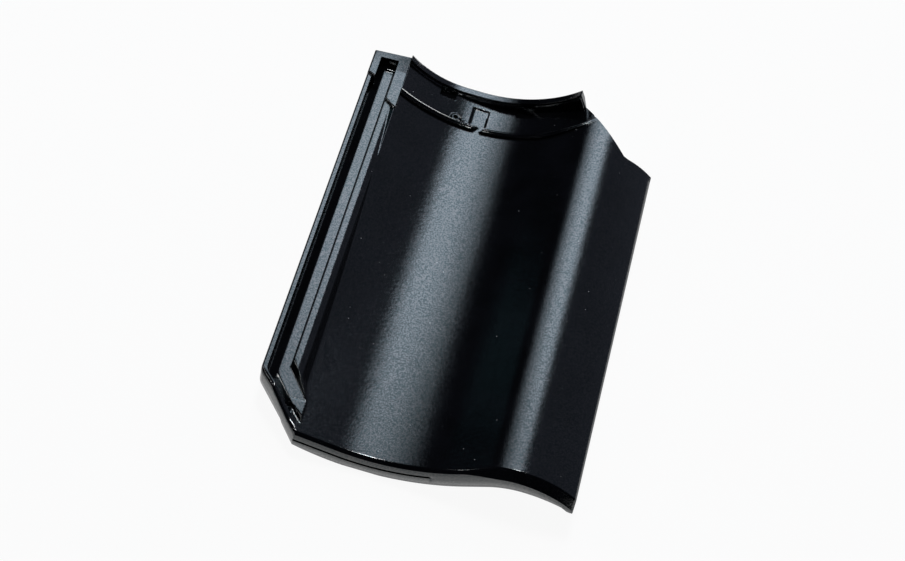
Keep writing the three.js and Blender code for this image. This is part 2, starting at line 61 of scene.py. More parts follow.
# side lock along the left edge
LOCK_TOP = 19.0              # top of the ribs
LOCK_UNDER = 4.0             # underside at the left edge
LOCK_WIDTH = 40.3            # foot of the steep wall, if it went on down to the underside
OUTER_RIB = 4.2              # width of the outer rib
GROOVE_X = 5.6               # lowest line of the outer groove
GROOVE_Z = 8.6
GROOVE_END_Z = 7.7           # the groove falls to this level along the cut corner
GROOVE_COVER = 0.6           # and runs out this far below the face of the trough
GUTTER_X = 12.6              # flat gutter, from here to the foot of the inner rib
GUTTER_FOOT = 21.6
GUTTER_Z = 13.4
GUTTER_RUN = 1.6             # run of the inner rib's wall
RIB_X = 28.0                 # where the flat of the inner rib ends
SHOULDER_X = 31.8            # where the rib's slope turns steep
SHOULDER = 17.2
UNDER_RIB_FALL = 0.58        # the trough's face falls on like this to the left of SHOULDER_X
UNDER_GUTTER_FALL = 3.0      # and by this more to the left of RIB_X, so that the lock stands clear of it

# the lock turns along the cut corner of the nose and runs out into the trough
LOW_X = 39.5                 # cut corner: start on the nose
LOW_Y = 41.5                 # and end on the left edge
GUTTER_BEND_Y = 53.6         # from here the gutter's inner wall turns
RIB_TURN_Y = 46.5            # from here the inner rib leans over and narrows
RIB_END_Y = 27.3             # and here it has sunk to the gutter
RIB_CLEAR = 20.0             # past its end the rib's top is lifted out of the way
RIB_LEAN = 3.0               # run of the rib's wall along the corner
LOCK_END_X = 41.3            # end of the gutter
LOCK_END_RUN = 0.9           # run of the short wall there
RUN_OUT_X = 14.0             # the outer rib falls from here
RUN_OUT_Z = 6.4              # to this level where the cut corner meets the nose
# distance from the cut corner of the gutter's edge and of the foot below it: (x, distance)
EDGE_INSET = [(14.0, 12.6), (23.0, 10.7), (31.0, 9.8), (41.0, 11.1)]
FOOT_INSET = [(14.0, 5.6), (26.0, 6.0), (31.0, 8.7), (36.0, 8.4), (41.0, 8.6)]

# cut corner of the head, and the cover flap below it
HIGH_X = 186.0               # the corner's start on the head
FLAP_X = 236.5               # and its end beside the flap
FLAP_Y = 345.0               # upper end of the flap
FLAP_Z = 8.5                 # right of the crown the underside stays above this

# frame round the head end of the side lock
FRAME_TOP = 21.6
FRAME_W = 32.8
FRAME_RISE = 3.1             # the corner next to the rim stands higher
FRAME_RISE_L = 18.0          # over this length
HEAD_WALL = 7.0              # wall along the head edge
LEG_OUT = 7.5                # outer leg: width, lower end and its slant
LEG_OUT_Y = 373.0
LEG_SLANT = 3.5
LEG_IN = 22.6                # inner leg: left side, lower end and its slant
LEG_IN_Y = 344.5
LEG_IN_SLANT = (2.8, -4.7)
LEG_EDGE = 1.5               # rounding of the legs' lower ends
CURL_Y = 388.0               # small curl of glaze across the gutter's slot
CURL_LEFT = 1.0              # its start, past the gutter's edge
CURL_SIZE = 1.6              # its height, and half its length

# head rim, with a ledge in front of it
RIM_Z = 8.0                  # flat middle of the rim's top, and the arcs that rise on its two sides
RIM_LEFT = dict(x=88.0, radius=84.0)
RIM_RIGHT = dict(x=99.5, radius=112.5)
RIM_BAND = 6.5               # thickness of the rim at its top
RIM_END_X = 183.0            # end of the rim's top above the roll
RIM_END_FOOT = 190.5         # and of its foot
LEDGE = 2.0                  # width of the ledge
LEDGE_DROP = 2.6             # ledge below the rim's top
LEDGE_LEAST = 0.6            # and at least this far above the face, left of the next line
LEDGE_LEAST_X = 150.0
RUN_UP = 1.6                 # the face rises towards the rim behind the bars
RUN_UP_X = (70.0, 112.0)     # between these
RUN_UP_FADE = (16.0, 40.0)   # with a fade of this width at its left and right side
RUN_UP_BEHIND = 5.0          # and from this far behind the bars' front

# weather bars: (distance behind their front, height above the face)
BAR_Y0 = 357.8
BAR = [(0.0, 0.0), (0.2, 2.1), (0.45, 2.6), (0.8, 2.8), (1.5, 2.85), (1.7, 3.1), (1.85, 3.75), (2.1, 3.98),
       (2.7, 3.95), (3.5, 3.72), (4.2, 3.4), (4.7, 2.9), (5.2, 1.8), (5.8, 0.0)]
BAR_FADE = (176.0, 204.0)    # the bar sinks into the roll
BAR_BEND_X = 155.0           # and bends towards the head from here
BAR_BEND = 23.0              # by this much where it ends
BAR_BEND_POWER = 1.6
DRAIN_X = 103.3              # drain between the bars
DRAIN_W = 7.0
DRAIN_SLANT = 6.0

# nail hole with its boss, recess, pockets against the rim and the nibs under them
NAIL_X = 83.9
NAIL_Y = 365.8
NAIL_R = 2.4
BOSS_R = 5.0
BOSS_RISE = 2.4
BOSS_CROWN = 0.12            # the boss falls off from the hole by this times the distance squared
RECESS_X = 103.8
RECESS_Y = 375.6
RECESS_W = 13.8
RECESS_L = 19.2
RECESS_D = 1.6
RECESS_KEEP = 2.0            # the recess leaves out what stands or lies further than this from the face
POCKETS = (72.1, 140.8)      # x of their middles
POCKET_W = 13.8
POCKET_L = 6.5
POCKET_D = 3.5
NIB_W = 28.0
NIB_L = 13.0
NIB_BACK = 9.0               # head edge to the nib
NIB_REACH = 22.0             # nib tip below the level of the trough
NIB_GROUND = 1.0             # and what the floor cuts off it

# nose: its edge is rounded along the trough and a wide flat bevel on the roll
NOSE_EDGE = 2.4
NOSE_BEVEL = 5.7             # run of the bevel
BEVEL_DROP = 8.3             # and its drop
BEVEL_X = (170.0, 200.0)     # the rounding turns into the bevel between these
LIP_DEEP = 14.0              # lip, front to back
LIP_REST = 0.6               # ground off its lowest part, to rest flat
PARTING_BELOW = (9.6, 9.2)   # parting line of the mould below the face, at its left and right end
PARTING_END_X = 148.0        # it ends here
PARTING_FADE = 5.0           # over this width
PARTING_DEEP = 1.6
# rings of points down the side walls: height above the line, and 1 where the parting line is sunk in
WALL_RINGS = [(1.5, 0), (1.2, 0), (0.9, 1), (-0.9, 1), (-1.2, 0)]
RING_CLEAR = (0.1, 0.05)     # the rings stay this far above the underside and below the face

# roundings of the outer edges
SIDE_EDGE = 1.4              # along the left edge
CORNER_EDGE = 4.0            # along the cut corner of the nose
EDGE_CHANGE_Y = LOW_Y + 1.0  # here the one turns into the other
EDGE_CHANGE = 6.0            # over this length
PAST_CORNER = 0.5            # share of the radius that is left past the cut corner
HEAD_EDGE = 0.9
RIGHT_CUT = (1.3, 0.7)       # small chamfer along the right edge of the roll: run and drop
RIGHT_CUT_STOP = 2.0         # it ends this far before the flap's end
FLAP_EDGE = 0.05
UNDER_EDGE = 1.2

# widths over which two faces blend where they meet
CORNER_BLEND = 3.0
RIM_END_BLEND = 0.8
NOSE_BLEND = 1.0
RIB_BLEND = 0.8
RIB_FOOT_BLEND = (1.2, 0.5)  # along the edge, and at the gutter's end
TURN_BLEND = 1.2
GUTTER_BLEND = 0.5
GROOVE_BLEND = 0.4
INNER_BLEND = 0.5
EDGE_BLEND = 0.7
OUTER_RIB_BLEND = 0.6
OUTER_FOOT_BLEND = 0.5
LOCK_BLEND = 0.8
FLAP_BLEND = 1.0

# widths of steep walls, in plan
FRAME_WALL = 0.9
LEG_WALL = 0.6
LEG_END_WALL = 0.5
CURL_WALL = 2.0
PAST_FRAME = (0.5, 0.8)      # rim and bars start this far inside the frame, over this width
POCKET_WALL = 0.9
RIM_WALL = 0.7
LEDGE_FADE = 14.0
DRAIN_WALL = 0.8
BOSS_WALL = 1.0
RECESS_WALL = 0.8
FLAP_WALL = 0.8
LIP_WALL = 1.5
NIB_WALL = 1.0
LEAST_BODY = 0.5             # the underside stays this far below the face
TINY = 1e-6

# ---------- spacing of the mesh ----------
# runs of lines across the tile and along it: (start, end, spacing)
RUNS_ACROSS = [(0, 24, 0.42), (24, 45, 0.42), (45, 66, 2.2), (66, 78, 1.2), (78, 90, 0.8), (90, 97, 1.6),
               (97, 112, 0.9), (112, 132, 2.2), (132, 149, 1.2), (149, 176, 2.2), (176, 222, 2.0),
               (222, FLAP_X, 0.8), (FLAP_X, WIDTH, 2.4)]
RUNS_ALONG = [(0, 8, 0.5), (8, 54, 0.5), (54, 66, 1.5), (66, 338, 9.0), (338, 356, 0.8), (365, 383, 0.75),
              (383, 400, 0.6)]
# walls that get lines of their own
WALLS_ACROSS = [OUTER_RIB, LEG_OUT, LEG_IN, SHOULDER_X, FRAME_W, RECESS_X - RECESS_W / 2,
                RECESS_X + RECESS_W / 2]
WALLS_ALONG = [LEG_IN_Y, LENGTH - RIM_BAND, LENGTH - RIM_BAND - LEDGE, LENGTH - NIB_BACK,
               LENGTH - NIB_BACK - NIB_L, LENGTH - HEAD_WALL, RECESS_Y - RECESS_L / 2,
               RECESS_Y + RECESS_L / 2]
NEAR_EDGE = (0, 0.08, 0.25, 0.5, 0.85, 1.3)   # places of the lines inside an outer edge
NEAR_WALL = (-0.45, -0.15, 0.15, 0.45)        # and on both sides of a wall
NEAR_BAR = 0.4               # last lines before and behind the bars
LINE_CLEAR = 0.22            # even lines keep this far from the fixed ones
TURN_U = 45.0                # lines up to here follow the lock round its bend
STRAIGHT_U = 150.0           # and from here they are straight
SQUEEZE_U = 160.0            # from here they close up beside the cut corner of the head
INSET_LIMIT = 160.0          # the search for a place with a given inset ends here
HALVINGS = 40                # steps of that search
BEND_IN = (343, 12)          # the lines bend with the bars from here, over this length
BEND_OUT = (391, 26)         # and are straight again here, after this length
PLAN_PASSES = 6              # the bend and the squeeze depend on each other
HOLE_RING = 2.0              # points within this of the nail hole move onto its edge
FLAT_FACE = (0.012, 1.2)     # cells merge where they bend and fall less than this, on the face
FLAT_UNDER = (0.05, 3.0)     # and on the underside
SHARP_ANGLE = 50

# ---------- looks ----------
BASE_DARK = (0.0010, 0.0011, 0.0014, 1)
BASE_LIGHT = (0.0022, 0.0024, 0.0032, 1)
SPECK_COLOUR = (0.24, 0.24, 0.25, 1)
SHEEN_DULL = (0.40, 0.50, 0.52, 1)
SHEEN_BRIGHT = (1.0, 0.97, 0.97, 1)
GLAZE_IOR = 1.8
GLAZE_ROUGHNESS = (0.06, 0.14)
# scales of the noises, per metre
CLOUD_SCALE = 28.0
MOTTLE_SCALE = 800.0
GRAIN_SCALE = 1100.0
PEEL_SCALE = 330.0
WAVE_SCALE = 45.0
# small spots: size of a cell and of a spot in metres, and the share of cells that have one
PALE_SPECKS = (0.009, 0.00060, 0.32)
PITS = (0.008, 0.0005, 0.30)
SPOT_CORE = 0.35             # part of a spot's radius that is full
# heights of the other bumps; the orange peel's is 1, which stands for BUMP_DISTANCE metres
WAVE_HEIGHT = 2.0
GRAIN_HEIGHT = 0.9
PIT_HEIGHT = -1.2
BUMP_DISTANCE = 0.00006

PAPER_DARK = (0.78, 0.78, 0.79, 1)
PAPER_LIGHT = (0.80, 0.80, 0.80, 1)
PAPER_SCALE = 3.0
PAPER_ROUGHNESS = 0.9
WHITE_SHARE = 0.93           # how much plain white the camera and reflections see on the floor
FLOOR_SIZE = 30
FLOOR_Z = -0.0004            # just under the tile, so that the two surfaces stay apart
# the room turns from its dark to its light side between these, across the tile and towards its head
ROOM_TURN = (-0.25, 0.12)
ROOM_FRONT = (-0.10, 0.25)
ROOM_LEFT = (0.007, 0.008, 0.013, 1)
ROOM_RIGHT = (0.110, 0.122, 0.157, 1)
LIGHT_DISTANCE = 3.0

# camera at the photograph's viewing angle
CAMERA = Vector((0.00587, -1.14692, 1.39142))
AIM = Vector((-0.00803, -0.01164, 0.025))
ROLL = math.radians(15.757)
LENS = 86.584


def lerp(a, b, t):
    return a + (b - a) * t


def ease(s):
    """0 to 1 with a smooth start and end."""
    s = np.clip(s, 0, 1)
    return s * s * (3 - 2 * s)


def step(t, width):
    """0 to 1 as t passes 0, smooth over width."""
    return ease(t / width + 0.5)


def smin(a, b, k):
    """Smaller of the two, with the edge between them rounded."""
    h = np.clip(0.5 + 0.5 * (b - a) / k, 0, 1)
    return lerp(b, a, h) - k * h * (1 - h)


def smax(a, b, k):
    return -smin(-a, -b, k)


def section(s, x):
    """Straight side, trough arc, straight flank, crown arc and edge arc, tangent to each other."""
    trough = np.array([s["trough_x"], s["trough_z"] + s["trough_r"]])
    crown = np.array([s["crown_x"], s["crown_z"] - s["crown_r"]])
    between = crown - trough
    lean = math.acos(min(1.0, (s["trough_r"] + s["crown_r"]) / np.hypot(*between)))
    angle = math.atan2(between[1], between[0]) - lean
    out = np.array([math.cos(angle), math.sin(angle)])
    low, high = trough + out * s["trough_r"], crown - out * s["crown_r"]
    side = math.radians(s["side"])
    side_x = s["trough_x"] - s["trough_r"] * math.sin(side)
    side_z = s["trough_z"] + s["trough_r"] * (1 - math.cos(side))
    arc = trough[1] - np.sqrt(np.maximum(s["trough_r"] ** 2 - (x - s["trough_x"]) ** 2, 0))
    flank = low[1] + (high[1] - low[1]) * (x - low[0]) / (high[0] - low[0])
    r = np.where(x < s["crown_x"], s["crown_r"], s["edge_r"])
    roll = s["crown_z"] - r + np.sqrt(np.maximum(r ** 2 - (x - s["crown_x"]) ** 2, 0))
    z = np.where(x < low[0], arc, np.where(x < high[0], flank, roll))
    return np.where(x < side_x, side_z + (side_x - x) * math.tan(side), z)


def face(x, y):
    return lerp(section(NOSE, x), section(HEAD, x), (y / LENGTH) ** FLARE)


def arc_fall(distance, radius):
    """How far an arc has left its tangent at a distance from the point where they touch."""
    return radius - np.sqrt(np.maximum(radius ** 2 - distance ** 2, 0))


def rim_arc(x):
    """Top of the head rim: a flat middle and an arc on each side."""
    left = arc_fall(np.clip(RIM_LEFT["x"] - x, 0, None), RIM_LEFT["radius"])
    right = arc_fall(np.clip(x - RIM_RIGHT["x"], 0, None), RIM_RIGHT["radius"])
    return RIM_Z + left + right


def rim_top(x):
    """The rim is cut off on a slant above the roll."""
    foot = float(section(HEAD, np.array([RIM_END_FOOT]))[0])
    top = float(rim_arc(np.array([RIM_END_X]))[0])
    end = foot + (RIM_END_FOOT - x) * (top - foot) / (RIM_END_FOOT - RIM_END_X)
    return smin(rim_arc(x), end, RIM_END_BLEND)


# ---------- outline in plan ----------
def corner_distance(x, y):
    return (LOW_Y * x + LOW_X * (y - LOW_Y)) / math.hypot(LOW_X, LOW_Y)


def inset(x, y):
    """Distance in from the left edge and the cut corner, rounded at the bend."""
    return smin(x, corner_distance(x, y), CORNER_BLEND)


def high_x(y):
    """Right edge at a given y: the cut corner on the roll's side begins at the end of the flap."""
    return np.where(y > FLAP_Y, FLAP_X + (HIGH_X - FLAP_X) * (y - FLAP_Y) / (LENGTH - FLAP_Y), WIDTH)


def rounding(d, r):
    """How far a rounded edge of radius r lies below the face at a distance d from the edge."""
    return arc_fall(np.clip(r - d, 0, r), r)


def nose_drop(x, y):
    """The edge of the nose is rounded along the trough and a flat bevel on the roll."""
    share = ease((x - BEVEL_X[0]) / (BEVEL_X[1] - BEVEL_X[0]))
    run, drop = lerp(NOSE_EDGE, NOSE_BEVEL, share), lerp(NOSE_EDGE, BEVEL_DROP, share)
    return smax(drop * (1 - y / run), np.zeros_like(y), NOSE_BLEND)


# ---------- height of the face ----------
def rib_and_slope(x, y):
    """Inner rib, its mild slope and its steep wall; below the bend it leans over to the gutter's end."""
    turn = (RIB_TURN_Y - y) / (RIB_TURN_Y - RIB_END_Y)
    s = np.clip(turn, 0, 1)
    edge = lerp(RIB_X, LOCK_END_X, s)
    top = lerp(LOCK_TOP, GUTTER_Z, s) + np.clip(turn - 1, 0, 1) * RIB_CLEAR
    shoulder_x = lerp(SHOULDER_X, LOCK_END_X, s)
    shoulder = lerp(SHOULDER, GUTTER_Z, s)
    foot_x = lerp(LOCK_WIDTH, LOCK_END_X + LOCK_END_RUN, s)
    mild = top - (x - edge) * (LOCK_TOP - SHOULDER) / (SHOULDER_X - RIB_X)
    steep = shoulder - (x - shoulder_x) * (shoulder - LOCK_UNDER) / (foot_x - shoulder_x)
    return smin(smin(top, mild, RIB_BLEND), steep, lerp(*RIB_FOOT_BLEND, s))


def gutter_height(x, y):
    """Gutter floor and the walls of the inner rib: steep along the edge, leaning along the corner."""
    rise = LOCK_TOP - GUTTER_Z
    straight = GUTTER_Z + (x - GUTTER_FOOT + GUTTER_RUN / 2) * rise / GUTTER_RUN
    dx, dy = LOCK_END_X - GUTTER_FOOT, GUTTER_BEND_Y - RIB_END_Y
    distance = ((x - GUTTER_FOOT) * dy + (y - GUTTER_BEND_Y) * dx) / math.hypot(dx, dy)
    turned = GUTTER_Z + distance * rise / RIB_LEAN
    return smax(np.full_like(x, GUTTER_Z), smin(straight, turned, TURN_BLEND), GUTTER_BLEND)


def groove_height(x, y, e):
    """V-shaped outer groove; along the cut corner it runs out under the face of the trough."""
    edge = np.interp(x, *zip(*EDGE_INSET))
    foot = np.interp(x, *zip(*FOOT_INSET))
    low = lerp(GROOVE_Z, GROOVE_END_Z, np.clip((x - GUTTER_X) / (LOCK_END_X - GUTTER_X), 0, 1))
    low = np.minimum(low, face(x, y) - GROOVE_COVER)
    return smax(low, low + (e - foot) * (GUTTER_Z - low) / (edge - foot), GROOVE_BLEND)


def lock_height(x, y, e):
    """The whole side lock; e is the inset from its edge."""
    inner = smin(rib_and_slope(x, y), gutter_height(x, y), INNER_BLEND)
    low = smin(inner, groove_height(x, y, e), EDGE_BLEND)
    rib_top = LOCK_TOP - np.maximum(x - RUN_OUT_X, 0) * (LOCK_TOP - RUN_OUT_Z) / (LOW_X - RUN_OUT_X)
    wall = LOCK_TOP - (e - OUTER_RIB) * (LOCK_TOP - GROOVE_Z) / (GROOVE_X - OUTER_RIB)
    return smax(low, smin(rib_top, wall, OUTER_RIB_BLEND), OUTER_FOOT_BLEND)


def run_up(x, y):
    """Rise of the face between the bars and the rim."""
    width = step(x - RUN_UP_X[0], RUN_UP_FADE[0]) * step(RUN_UP_X[1] - x, RUN_UP_FADE[1])
    behind = (y - BAR_Y0 - RUN_UP_BEHIND) / (LENGTH - RIM_BAND - BAR_Y0 - RUN_UP_BEHIND)
    return RUN_UP * width * np.clip(behind, 0, 1)


def edge_drop(x, y, e):
    """How far the roundings and chamfers of the outer edges lie below the face."""
    edge = lerp(SIDE_EDGE, CORNER_EDGE, step(EDGE_CHANGE_Y - y, EDGE_CHANGE))
    edge = edge * lerp(1.0, PAST_CORNER, step(x - LOW_X, EDGE_CHANGE))
    run, drop = RIGHT_CUT
    cut = drop * np.maximum(1 - (high_x(y) - x) / run, 0) * (y < FLAP_Y - RIGHT_CUT_STOP)
    on_flap = step(x - FLAP_X, FLAP_WALL) * (y <= FLAP_Y + TINY)
    flap = rounding(np.maximum(FLAP_Y - y, 0), FLAP_EDGE) * on_flap
    return rounding(e, edge) + nose_drop(x, y) + rounding(LENGTH - y, HEAD_EDGE) + cut + flap


def top_height(x, y):
    e = inset(x, y)
    right = np.maximum(x, SHOULDER_X)
    fall = (right - x) * UNDER_RIB_FALL + np.maximum(RIB_X - x, 0) * UNDER_GUTTER_FALL
    trough = face(right, y) - fall + run_up(x, y)
    z = smax(trough, lock_height(x, y, e), LOCK_BLEND)
    return with_head(x, y, z) - edge_drop(x, y, e)


def bar_shift(x):
    """The bars bend towards the head where they climb the roll."""
    return BAR_BEND * np.clip((x - BAR_BEND_X) / (BAR_FADE[1] - BAR_BEND_X), 0, 1) ** BAR_BEND_POWER


def bar_height(x, y):
    """Front wall, narrow step, small riser, rounded top and steep back of the weather bars."""
    v = y - bar_shift(x) - BAR_Y0
    height = np.interp(v, *zip(*BAR))
    drain = np.abs(x - DRAIN_X - DRAIN_SLANT * v / BAR[-1][0]) - DRAIN_W / 2
    fade = np.clip((BAR_FADE[1] - x) / (BAR_FADE[1] - BAR_FADE[0]), 0, 1)
    return height * fade * step(drain, DRAIN_WALL)


def frame_height(x, y):
    """Top of the frame round the lock's head end, and how much of it covers each place."""
    corner = np.clip((y - LENGTH + FRAME_RISE_L) / FRAME_RISE_L, 0, 1)
    top = FRAME_TOP + FRAME_RISE * np.clip(x / FRAME_W, 0, 1) * corner
    block = step(FRAME_W - x, FRAME_WALL)
    out_end = LEG_OUT_Y - x * LEG_SLANT / LEG_OUT
    in_end = LEG_IN_Y + lerp(*LEG_IN_SLANT, (x - LEG_IN) / (FRAME_W - LEG_IN))
    end = np.where(x < (LEG_OUT + LEG_IN) / 2, out_end, in_end)
    top = top - rounding(np.maximum(y - end, 0), LEG_EDGE)
    outer = step(LEG_OUT - x, LEG_WALL) * step(y - out_end, LEG_END_WALL)
    inner = step(x - LEG_IN, LEG_WALL) * block * step(y - in_end, LEG_END_WALL)
    head = step(y - (LENGTH - HEAD_WALL), LEG_WALL) * block
    return top, np.maximum(np.maximum(outer, inner), head)


def with_rim(x, y, z, past_frame):
    """Adds the rim, the ledge in front of it and the two pockets in the ledge."""
    inner = LENGTH - RIM_BAND
    rim = np.maximum(rim_top(x), face(x, y))
    least = LEDGE_LEAST * step(LEDGE_LEAST_X - x, LEDGE_FADE)
    ledge = np.maximum(rim_top(x) - LEDGE_DROP, face(x, y) + least)
    for px in POCKETS:
        in_x = step(POCKET_W / 2 - np.abs(x - px), POCKET_WALL)
        in_y = step(y - (inner - LEDGE - POCKET_L), POCKET_WALL)
        floor_z = face(px, LENGTH) - POCKET_D
        z = lerp(z, floor_z, in_x * in_y)
        ledge = lerp(ledge, floor_z, in_x)
    z = lerp(z, np.maximum(z, ledge), step(y - (inner - LEDGE), RIM_WALL) * past_frame)
    return lerp(z, rim, step(y - inner, RIM_WALL) * past_frame)


def with_boss(x, y, z):
    r = np.hypot(x - NAIL_X, y - NAIL_Y)
    boss = face(NAIL_X, NAIL_Y) + BOSS_RISE - BOSS_CROWN * np.clip(r - NAIL_R, 0, None) ** 2
    return lerp(z, np.maximum(z, boss), step(BOSS_R - r, BOSS_WALL))


def recess_share(x, y):
    across = step(RECESS_W / 2 - np.abs(x - RECESS_X), RECESS_WALL)
    return across * step(RECESS_L / 2 - np.abs(y - RECESS_Y), RECESS_WALL)


def curl_height(x, y):
    slot = step(LEG_IN - x, LEG_WALL) * step(x - GUTTER_X - CURL_LEFT, CURL_WALL)
    curl = np.clip(1 - np.abs(y - CURL_Y) / CURL_SIZE, 0, 1) ** 0.5
    return CURL_SIZE * curl * slot


def with_head(x, y, plain):
    """Adds everything that stands at the head end."""
    past_frame = step(x - FRAME_W + PAST_FRAME[0], PAST_FRAME[1])
    z = with_rim(x, y, plain, past_frame)
    z = z + bar_height(x, y) * past_frame
    z = with_boss(x, y, z)
    z = z - RECESS_D * recess_share(x, y) * (np.abs(z - plain) < RECESS_KEEP)
    z = z + curl_height(x, y)
    top, cover = frame_height(x, y)
    return lerp(z, top, cover)


# ---------- height of the underside ----------
def body_under(x, y):
    """Underside where the clay has its plain thickness."""
    slope = face(x + 0.5, y) - face(x - 0.5, y)
    return face(x, y) - BODY * np.hypot(1, slope)


def under_height(x, y):
    foot = body_under(np.full_like(x, LOCK_WIDTH), y)
    z = np.where(x < LOCK_WIDTH, lerp(LOCK_UNDER, foot, x / LOCK_WIDTH), body_under(x, y))
    z = np.where(x > NOSE["crown_x"], smax(z, np.full_like(x, FLAP_Z), FLAP_BLEND), z)
    lip = np.minimum(section(LIP, x), z)
    z = lerp(z, np.maximum(lip, LIP["trough_z"] + LIP_REST), step(LIP_DEEP - y, LIP_WALL))
    back = LENGTH - NIB_BACK
    along = step(back - y, NIB_WALL)
    front = step(y - (back - NIB_L), NIB_WALL)
    for px in POCKETS:
        nib = step(NIB_W / 2 - np.abs(x - px), NIB_WALL) * along * front
        z = lerp(z, -NIB_REACH - NIB_GROUND, nib)
    d = np.minimum(np.minimum(inset(x, y), y), np.minimum(LENGTH - y, high_x(y) - x))
    return z + np.clip(UNDER_EDGE - d, 0, None) ** 2 / (2 * UNDER_EDGE)


# ---------- mesh ----------
def spread(*runs):
    """Stations from runs of (start, end, spacing)."""
    out = []
    for start, end, spacing in runs:
        n = max(1, round((end - start) / spacing))
        out.extend(start + (end - start) * i / n for i in range(n + 1))
    return sorted(set(out))


def stations(runs, edges, walls, more=()):
    """Even runs, with extra stations at rounded edges and across walls."""
    near_edge = [e + side * offset for e, side in edges for offset in NEAR_EDGE]
    near_wall = [w + offset for w in walls for offset in NEAR_WALL]
    fixed = sorted(set(round(v, 3) for v in near_edge + near_wall + list(more)))
    free = [v for v in spread(*runs) if min(abs(v - f) for f in fixed) > LINE_CLEAR]
    return np.array(sorted(fixed + free))


def follow_inset(u, y):
    """x at which the inset from the left edge and cut corner is u."""
    low, high = np.zeros_like(u), np.full_like(u, INSET_LIMIT)
    for _ in range(HALVINGS):
        mid = (low + high) / 2
        inside = inset(mid, y) < u
        low, high = np.where(inside, mid, low), np.where(inside, high, mid)
    return (low + high) / 2


def plan(U, V):
    """Plan places of the grid: lines follow the lock round its bend, the bars and the cut corner."""
    turned = follow_inset(np.minimum(U, TURN_U), V)
    blended = lerp(turned, STRAIGHT_U, (U - TURN_U) / (STRAIGHT_U - TURN_U))
    X = np.where(U <= TURN_U, turned, np.where(U > STRAIGHT_U, U, blended))
    begin, end = BEND_IN, BEND_OUT
    bend = np.clip((V - begin[0]) / begin[1], 0, 1) * np.clip((end[0] - V) / end[1], 0, 1)
    Y = V.copy()
    for _ in range(PLAN_PASSES):
        right = high_x(np.clip(Y, FLAP_Y + TINY, None))
        squeezed = SQUEEZE_U + (U - SQUEEZE_U) * (right - SQUEEZE_U) / (FLAP_X - SQUEEZE_U)
        moved = np.where((U > SQUEEZE_U) & (V > FLAP_Y + TINY), squeezed, X)
        Y = V + bar_shift(moved) * bend
    return moved, Y


def grid():
    pocket_sides = [px + side * POCKET_W / 2 for px in POCKETS for side in (-1, 1)]
    us = stations(RUNS_ACROSS, [(0, 1), (WIDTH, -1), (FLAP_X, -1)], WALLS_ACROSS + pocket_sides)
    bar = [BAR_Y0 + v for v, _ in BAR] + [BAR_Y0 - NEAR_BAR, BAR_Y0 + BAR[-1][0] + NEAR_BAR]
    vs = stations(RUNS_ALONG, [(0, 1), (LENGTH, -1), (FLAP_Y, -1)], WALLS_ALONG, bar)
    U, V = np.meshgrid(us, vs, indexing="ij")
    return us, vs, *plan(U, V)


def kept_cells(us, vs, X, Y):
    """Cells of the grid that are clay: not in the cut corner and not in the nail hole."""
    mid_u, mid_v = (us[:-1] + us[1:]) / 2, (vs[:-1] + vs[1:]) / 2
    cell = ~((mid_u[:, None] > FLAP_X) & (mid_v[None, :] > FLAP_Y))
    mid_x, mid_y = (X[:-1, :-1] + X[1:, 1:]) / 2, (Y[:-1, :-1] + Y[1:, 1:]) / 2
    return cell & (np.hypot(mid_x - NAIL_X, mid_y - NAIL_Y) > NAIL_R)


def corners(cell, all_of):
    """Grid points that touch kept cells: every one of the four, or any."""
    out = np.full((cell.shape[0] + 1, cell.shape[1] + 1), all_of)
    for di in (0, 1):
        for dj in (0, 1):
            part = np.zeros_like(out)
            part[di:cell.shape[0] + di, dj:cell.shape[1] + dj] = cell
            out = out & part if all_of else out | part
    return out


def merged_blocks(whole, Z, bend, fall):
    """2 x 2 blocks of cells that are flat enough for one face."""
    blocks = set()
    for i in range(0, whole.shape[0] - 2, 2):
        for j in range(0, whole.shape[1] - 2, 2):
            if not whole[i:i + 3, j:j + 3].all():
                continue
            z = Z[i:i + 3, j:j + 3]
            across = [z[0, :].mean() - z[1, :].mean() + z[2, :].mean() - z[1, :].mean(),
                      z[:, 0].mean() - z[:, 1].mean() + z[:, 2].mean() - z[:, 1].mean()]
            if max(abs(across[0]), abs(across[1])) < 2 * bend and np.ptp(z) < fall:
                blocks.add((i, j))
    return blocks


def block_face(i, j, blocks):
    """Outline of a merged block, with the middle points that finer neighbours use."""
    out = []
    sides = [((i, j), (i, j - 2), (i + 1, j)), ((i + 2, j), (i + 2, j), (i + 2, j + 1)),
             ((i + 2, j + 2), (i, j + 2), (i + 1, j + 2)), ((i, j + 2), (i - 2, j), (i, j + 1))]
    for corner, neighbour, middle in sides:
        out.append(corner)
        if neighbour not in blocks:
            out.append(middle)
    return out[::-1]


class Builder:
    """Collects points by key, and faces."""

    def __init__(self):
        self.points = []
        self.faces = []
        self.index = {}

    def point(self, key, x, y, z):
        if key not in self.index:
            self.index[key] = len(self.points)
            self.points.append((x, y, z))
        return self.index[key]


def side_rings(x, y, top, under):
    """Points down a side wall; the front carries the parting line of the mould as far as the roll."""
    line, cut = lerp(top, under, 0.5), 0.0
    if y < TINY:
        share = min((x - LOW_X) / (PARTING_END_X - LOW_X), 1.0)
        line = float(face(np.array([x]), np.array([0.0]))[0]) - lerp(*PARTING_BELOW, share)
        cut = PARTING_DEEP * float(step(np.array([PARTING_END_X - x]), PARTING_FADE)[0])
    low, high = under + RING_CLEAR[0], top - RING_CLEAR[1]
    return [(x, y + sunk * cut, min(max(line + rise, low), high)) for rise, sunk in WALL_RINGS]


